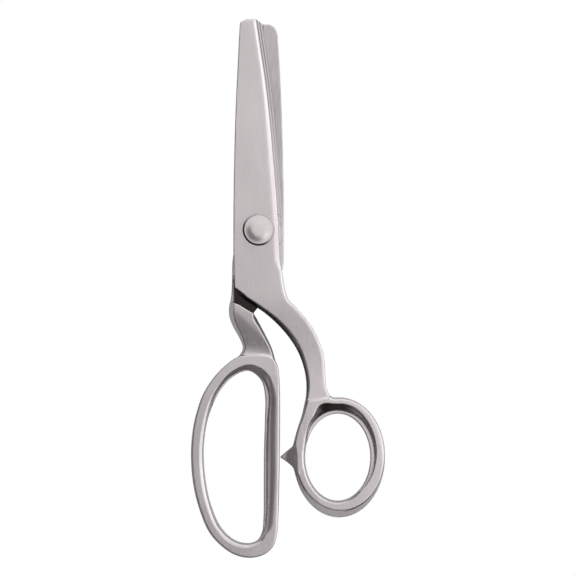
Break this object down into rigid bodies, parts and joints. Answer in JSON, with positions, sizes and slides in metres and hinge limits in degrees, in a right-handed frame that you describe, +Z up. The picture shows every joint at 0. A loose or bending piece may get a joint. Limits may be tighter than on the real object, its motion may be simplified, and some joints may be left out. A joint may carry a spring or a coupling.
{
  "type": "pinking shears",
  "caption": "All-steel pinking shears: two pivoted halves with toothed cutting edges, a long finger bow and an oval thumb ring.",
  "frame": {"origin": "middle of the bounding box's bottom face, on the surface the shears lie on", "axes": "+Y along the shears to the tips, +Z up along the pivot screw, +X towards the thumb ring"},
  "size_m": [0.0846, 0.2348, 0.0154],
  "materials": {
    "brushed_steel": "brushed stainless, lengthwise grain on the blades and satin on the handles",
    "toothed_steel": "milled",
    "pivot_steel": "satin polished",
    "bearing_bronze": "plain turned bronze"
  },
  "bodies": {
    "lower": {"lower_half": "brushed_steel", "lower_toothed_strip": "toothed_steel", "pivot_screw": "pivot_steel", "bearing_washer": "bearing_bronze", "flat_washer": "pivot_steel", "spring_washer": "pivot_steel", "pivot_nut": "pivot_steel"},
    "upper": {"upper_half": "brushed_steel", "upper_toothed_strip": "toothed_steel"}
  },
  "joints": [
    {"name": "blade_pivot", "type": "hinge", "parent": "lower", "child": "upper", "pos_m": [-0.0125, 0.0256, 0.0085], "axis": [0, 0, 1], "range_deg": [0, 50]}
  ]
}
